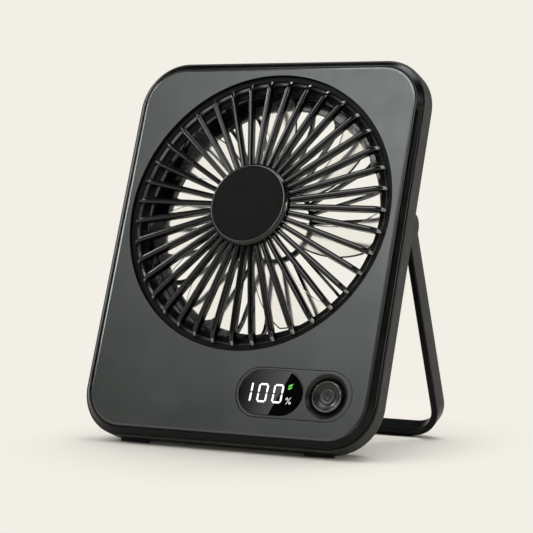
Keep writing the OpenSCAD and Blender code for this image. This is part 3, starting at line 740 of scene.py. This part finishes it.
def blade_point(across, out):
    """Middle surface of a blade: across the chord -0.5..0.5, out along the span 0..1."""
    radius = BLADE_ROOT + (BLADE_TIP - BLADE_ROOT) * out
    chord = ROOT_CHORD + (TIP_CHORD - ROOT_CHORD) * out
    pitch = math.radians(ROOT_PITCH + (TIP_PITCH - ROOT_PITCH) * out ** 0.7)
    camber = CAMBER * chord * (1 - 4 * across * across)
    along = across * chord * 0.985
    turn = along * math.cos(pitch) - camber * math.sin(pitch)
    depth = -along * math.sin(pitch) - camber * math.cos(pitch)
    middle = BLADE_FRONT - BLADE_DROP * min(1, 2 * out) - chord / 2 * math.sin(pitch)
    angle = turn / radius + math.radians(BLADE_SWEEP) * out * out
    return Vector((radius * math.cos(angle), radius * math.sin(angle), middle + depth))


def blade():
    """One twisted blade with its edge in the second finish, a dark grey that is painted shade for light
    bent at the clear edge.
    """
    mesh = bmesh.new()
    bmesh.ops.create_grid(mesh, x_segments=10, y_segments=14, size=0.5)
    for point in mesh.verts:
        point.co = blade_point(point.co.x, point.co.y + 0.5)
    bmesh.ops.recalc_face_normals(mesh, faces=mesh.faces)
    border = mesh.verts.layers.int.new("border")
    for point in mesh.verts:
        point[border] = int(point.is_boundary)
    bmesh.ops.solidify(mesh, geom=mesh.faces[:], thickness=BLADE_THICK)
    bmesh.ops.recalc_face_normals(mesh, faces=mesh.faces)
    # Edge faces take the second finish, the painted shade.
    for face in mesh.faces:
        if all(point[border] for point in face.verts):
            face.material_index = 1
    return eased(mesh, 0.35, sharper_than=60)


def fan_wheel():
    """The blades round their hub, a cup over the motor's rotor."""
    inside = WHEEL_HUB - 1.4
    hub = turned([(inside, WHEEL_FRONT, 0.2), (WHEEL_HUB, WHEEL_FRONT, 0.5), (WHEEL_HUB, WHEEL_BACK, 0.8),
                  (WHEEL_BORE, WHEEL_BACK, 0.2), (WHEEL_BORE, -8.2, 0.2), (inside, -8.2, 0)])
    return gathered(around(blade(), BLADES, FIRST_BLADE), hub)


settled("fan_wheel", fan_wheel(), ON_FAN, "rotor", "clear_plastic", ["impeller"],
        crease=50, second="blade_edge_shade")


# ---- bail stand ----

def bail():
    """Strap bent to a U round the panel's width, with a pin head inside each end."""
    half = PANEL_WIDTH / 2
    inside = half - STRAP_THICK
    inner_corner = BAIL_CORNER - STRAP_THICK
    strap = slab([(-half, 0, 0), (-half, -BAIL_REACH, BAIL_CORNER), (half, -BAIL_REACH, BAIL_CORNER),
                  (half, 0, 0), (inside, 0, 0), (inside, STRAP_THICK - BAIL_REACH, inner_corner),
                  (-inside, STRAP_THICK - BAIL_REACH, inner_corner), (-inside, 0, 0)],
                 -STRAP_WIDE / 2, STRAP_WIDE, arc=12)
    eased(strap, 0.7, 3)
    head = turned([(0, 0, 0), (PIN_HEAD_RADIUS, 0, 0.4), (PIN_HEAD_RADIUS, PIN_HEAD_TALL, 0.8),
                   (0, PIN_HEAD_TALL, 0)], 64)
    moved(head, Matrix.Translation((inside, 0, 0)) @ Matrix.Rotation(math.pi / 2, 4, "Y"))
    other_head = moved(head.copy(), Matrix.Rotation(math.pi, 4, "Z"))
    return gathered(strap, head, other_head)


settled("bail", bail(), ON_HINGE, "stand", "stand_black", ["stand_bail"])


# ---- button ----

def button():
    """Body of the button, dished between its rim and its disc, and its stem."""
    body = turned([(0, BUTTON_BACK, 0), (6.4, BUTTON_BACK, 0), (6.4, -0.2, 0), (6.1, -0.3, 0.3),
                   (4.9, -1.2, 1.2), (3.65, -1.6, 0.05), (3.65, -1.8, 0), (0, -1.8, 0)])
    stem = turned([(0, -3.6, 0), (2.4, -3.6, 0.2), (2.4, -2.5, 0), (0, -2.5, 0)], 48)
    return gathered(body, stem)


def button_rim():
    """Outer rim of the button, in light grey as a painted highlight."""
    return turned([(6.35, BUTTON_BACK, 0), (6.6, BUTTON_BACK, 0.2), (BUTTON_RADIUS, -2.1, 0.2),
                   (BUTTON_RADIUS, -0.62, 0.12), (6.5, -0.06, 0.12), (6.35, -0.2, 0)])


def button_disc():
    """Shallow disc in the middle of the button."""
    return turned([(0, -1.9, 0), (3.5, -1.9, 0), (3.5, -1.35, 0.15), (3.2, -1.25, 0.2), (0, -1.62, 0)])


def button_well():
    """Wall and lower slope of the well round the button, near-black as painted shade in the recess."""
    return turned([(7.25, -3.35, 0), (7.35, -3.35, 0), (7.35, -2.2, 0), (8.6, -1.16, 0),
                   (8.55, -1.08, 0), (7.25, -2.16, 0)])


def well_slope():
    """Upper slope of the well, lighter than the painted shade below it."""
    return turned([(8.62, -1.15, 0), (9.98, -0.02, 0), (9.86, -0.02, 0), (8.57, -1.07, 0)])


def power_mark():
    """Open arc with a bar through its gap."""
    thick = 0.1
    sweep = 285
    arc = outline([(1.25, 0, 0), (1.6, 0, 0), (1.6, thick, 0), (1.25, thick, 0)])
    bmesh.ops.spin(arc, geom=arc.faces[:], cent=(0, 0, 0), axis=(0, 0, 1), angle=math.radians(sweep),
                   steps=40)
    start = math.radians(90 + (360 - sweep) / 2)
    moved(arc, Matrix.Translation((0, 0, -1.5)) @ Matrix.Rotation(start, 4, "Z"))
    bar = slab([(-0.18, 0.6, 0), (0.18, 0.6, 0), (0.18, 2.1, 0), (-0.18, 2.1, 0)], -1.46, thick)
    return gathered(arc, bar)


settled("button_rim", button_rim(), ON_BUTTON, "button", "lip_highlight_grey", ["power_button"],
        crease=50)
settled("button_disc", button_disc(), ON_BUTTON, "button", "button_grey",
        ["power_button"], crease=50)
settled("button", button(), ON_BUTTON, "button", "button_black", ["power_button"],
        crease=50)
# The well's wall and lower slope are near-black as painted shade; its upper slope is lighter.
settled("button_well", button_well(), ON_BUTTON, "housing", "mark_and_shade_black",
        ["control_plate"])
settled("well_slope", well_slope(), ON_BUTTON, "housing", "well_black",
        ["control_plate"])
settled("power_mark", power_mark(), ON_BUTTON, "button", "mark_and_shade_black")


# ---- display ----

def lens():
    """Stadium-shaped window."""
    low, high = PLATE_UP - LENS_HALF, PLATE_UP + LENS_HALF
    window = slab([(LENS_LEFT, low, LENS_CORNER), (LENS_RIGHT, low, LENS_CORNER),
                   (LENS_RIGHT, high, LENS_CORNER), (LENS_LEFT, high, LENS_CORNER)],
                  -1.5, LENS_THICK, arc=16)
    return eased(window, 0.18)


def stroke(start, end):
    """A lit bar with pointed ends from one place on the display to another."""
    start, end = Vector(start), Vector(end)
    along = (end - start).normalized()
    side = Vector((-along.y, along.x)) * STROKE_WIDE / 2
    tip = along * STROKE_WIDE / 2
    path = [start, start + tip + side, end - tip + side, end, end - tip - side, start + tip - side]
    corners = [(place.x + DIGIT_SLANT * (place.y - PLATE_UP), place.y, 0) for place in path]
    return slab(corners, LIT_BACK, LIT_THICK)


def one(across):
    """The digit one as two upright bars."""
    return [stroke((across, 15.3), (across, 19.35)), stroke((across, 19.65), (across, 23.7))]


def zero(left):
    """The digit zero as six bars."""
    right = left + DIGIT_WIDE
    middle = (DIGIT_LOW + DIGIT_HIGH) / 2
    bars = []
    for up in (DIGIT_HIGH, DIGIT_LOW):
        bars.append(stroke((left + STROKE_GAP, up), (right - STROKE_GAP, up)))
    for across in (left, right):
        for low, high in ((DIGIT_LOW, middle), (middle, DIGIT_HIGH)):
            bars.append(stroke((across, low + STROKE_GAP), (across, high - STROKE_GAP)))
    return bars


def percent():
    """Small percent sign as two rings and a slash."""
    marks = []
    for centre in [(30.8, 17.35), (32.35, 15.6)]:
        front = LIT_BACK + LIT_THICK
        ring = turned([(0.38, LIT_BACK, 0), (0.56, LIT_BACK, 0), (0.56, front, 0), (0.38, front, 0)], 24)
        marks.append(moved(ring, Matrix.Translation((*centre, 0))))
    marks.append(slab([(30.4, 14.9, 0), (30.6, 14.9, 0), (32.75, 18.1, 0), (32.55, 18.1, 0)],
                      LIT_BACK, LIT_THICK))
    return marks


def leaf():
    """Small leaf sign in two halves."""
    lower = slab([(30.5, 21.5, 0), (32.1, 21.7, 0.8), (32.5, 23.0, 0), (30.6, 21.95, 0)],
                 LIT_BACK, LIT_THICK, arc=8)
    upper = slab([(30.55, 22.35, 0), (32.5, 23.4, 0), (32.6, 24.1, 0), (30.8, 23.6, 0.8)],
                 LIT_BACK, LIT_THICK, arc=8)
    return gathered(lower, upper)


settled("lens", lens(), ON_FACE, "housing", "lens_black", ["display_lens"])
settled("digits", gathered(*one(13.0), *zero(16.6), *zero(24.0), *percent()), ON_FACE, "housing",
        "display_white")
settled("leaf_mark", leaf(), ON_FACE, "housing", "leaf_green")


# ---- floor and surround ----

def floor_finish():
    """Pale matt floor near the fan, which keeps its shadow, and plain backdrop further out."""
    material, tree, shader = new_finish("floor", Roughness=0.9, Specular_IOR_Level=0.1)
    tint = blended(tree, between(tree, spots(tree, 40, 3)), shade((241, 238, 229)), shade((243, 240, 231)))
    tree.links.new(tint, shader.inputs["Base Color"])
    glow = tree.nodes.new("ShaderNodeEmission")
    glow.inputs["Color"].default_value = BACKDROP
    reach = tree.nodes.new("ShaderNodeVectorMath")
    reach.operation = "LENGTH"
    tree.links.new(coordinates(tree, "Object", (1.25, 0.78, 1)), reach.inputs[0])
    mix = tree.nodes.new("ShaderNodeMixShader")
    tree.links.new(ranged(tree, reach.outputs["Value"], 0.06, 0.15, smooth=True), mix.inputs["Fac"])
    tree.links.new(shader.outputs["BSDF"], mix.inputs[1])
    tree.links.new(glow.outputs["Emission"], mix.inputs[2])
    tree.links.new(mix.outputs["Shader"], tree.nodes["Material Output"].inputs["Surface"])
    return material


def lay_floor():
    """Round floor, 8 m in radius, a tenth of a millimetre below the feet."""
    ground = bmesh.new()
    bmesh.ops.create_circle(ground, cap_ends=True, radius=8, segments=96)
    moved(ground, Matrix.Translation((0, 0, -0.0001)))
    shape = bpy.data.meshes.new("floor")
    ground.to_mesh(shape)
    ground.free()
    floor = placed("floor", shape)
    shape.materials.append(floor_finish())


def set_surround():
    """A world that is pale near the horizon all round and dim overhead."""
    world = bpy.data.worlds.new("surround")
    bpy.context.scene.world = world
    world.use_nodes = True
    sky = world.node_tree
    height = sky.nodes.new("ShaderNodeSeparateXYZ")
    sky.links.new(coordinates(sky, "Generated"), height.inputs["Vector"])
    fade = ranged(sky, height.outputs["Z"], 0.14, 0.32, smooth=True)
    sky.links.new(blended(sky, fade, BACKDROP, OVERHEAD), sky.nodes["Background"].inputs["Color"])


lay_floor()
set_surround()


# ---- lamps, in metres ----

def mirrored(x, y, distance):
    """Where a lamp stands when the camera sees it mirrored at this spot of the face."""
    spot = ON_FACE @ Vector((x, y, 0))
    facing = Vector((0, -math.cos(LEAN), math.sin(LEAN)))
    ray = (spot - camera.location).normalized()
    return spot + distance * (ray - 2 * ray.dot(facing) * facing)


def softbox(name, place, aim, width, height, brightness, tint=(1, 1, 1), diffuse=True, glossy=True):
    """Rectangular lamp whose face has the given brightness, 1 being white."""
    lamp = bpy.data.lights.new(name, "AREA")
    lamp.shape = "RECTANGLE"
    lamp.size = width
    lamp.size_y = height
    lamp.energy = brightness * math.pi * width * height
    lamp.color = tint
    holder = placed(name, lamp)
    holder.location = place
    holder.rotation_euler = (Vector(aim) - Vector(place)).to_track_quat("-Z", "Y").to_euler()
    holder.visible_camera = False
    holder.visible_diffuse = diffuse
    holder.visible_glossy = glossy


def window_card():
    """Small glowing card that the display window mirrors, darker towards its left side."""
    mesh = bmesh.new()
    fall = mesh.verts.layers.float.new("fall")
    for x, y, level in [(5, 7, 0.0), (21.6, 7, 0.8), (31.8, 31, 1.0), (5, 31, 0.0)]:
        corner = mesh.verts.new(mirrored(x, y, 0.3))
        corner[fall] = level
    mesh.faces.new(mesh.verts)
    shape = bpy.data.meshes.new("window_card")
    mesh.to_mesh(shape)
    mesh.free()
    card = placed("window_card", shape)
    card.visible_camera = False
    card.visible_shadow = False
    card.visible_diffuse = False
    material = bpy.data.materials.new("window_card")
    material.use_nodes = True
    tree = material.node_tree
    tree.nodes.clear()
    level = tree.nodes.new("ShaderNodeAttribute")
    level.attribute_name = "fall"
    glow = tree.nodes.new("ShaderNodeEmission")
    tree.links.new(ranged(tree, level.outputs["Fac"], 0, 1, high=2.1), glow.inputs["Strength"])
    output = tree.nodes.new("ShaderNodeOutputMaterial")
    tree.links.new(glow.outputs["Emission"], output.inputs["Surface"])
    shape.materials.append(material)


softbox("top_box", place=(0.15, 0.42, 1.05), aim=(0, 0, 0.05), width=0.62, height=0.62, brightness=4.2)
softbox("front_box", place=mirrored(88, 165, 0.42), aim=ON_FACE @ Vector((30, 130, 0)),
        width=0.28, height=0.34, brightness=5.7, diffuse=False)
softbox("right_box", place=(0.75, -0.25, 0.75), aim=(0, 0, 0.08), width=0.3, height=0.3,
        brightness=3.4, diffuse=False)
softbox("tip_box", place=(1.08, 0.12, 0.33), aim=(0, 0, 0.12), width=0.35, height=0.35,
        brightness=15.0, tint=(1, 0.94, 0.85), diffuse=False)
softbox("left_box", place=(-0.8, -0.1, 0.66), aim=(0, 0, 0.08), width=0.18, height=0.18,
        brightness=20.0, diffuse=False)
softbox("edge_box", place=(-0.66, -0.33, 0.44), aim=(0, 0, 0.12), width=0.1, height=0.24,
        brightness=11.0, diffuse=False)
softbox("floor_box", place=(-0.06, 0.3, 1.1), aim=(0, 0, 0), width=1.1, height=1.1,
        brightness=1.6, glossy=False)
softbox("fill_box", place=(-0.62, -0.34, 0.7), aim=(-0.04, -0.05, 0), width=0.8, height=0.8,
        brightness=2.4, glossy=False)
window_card()
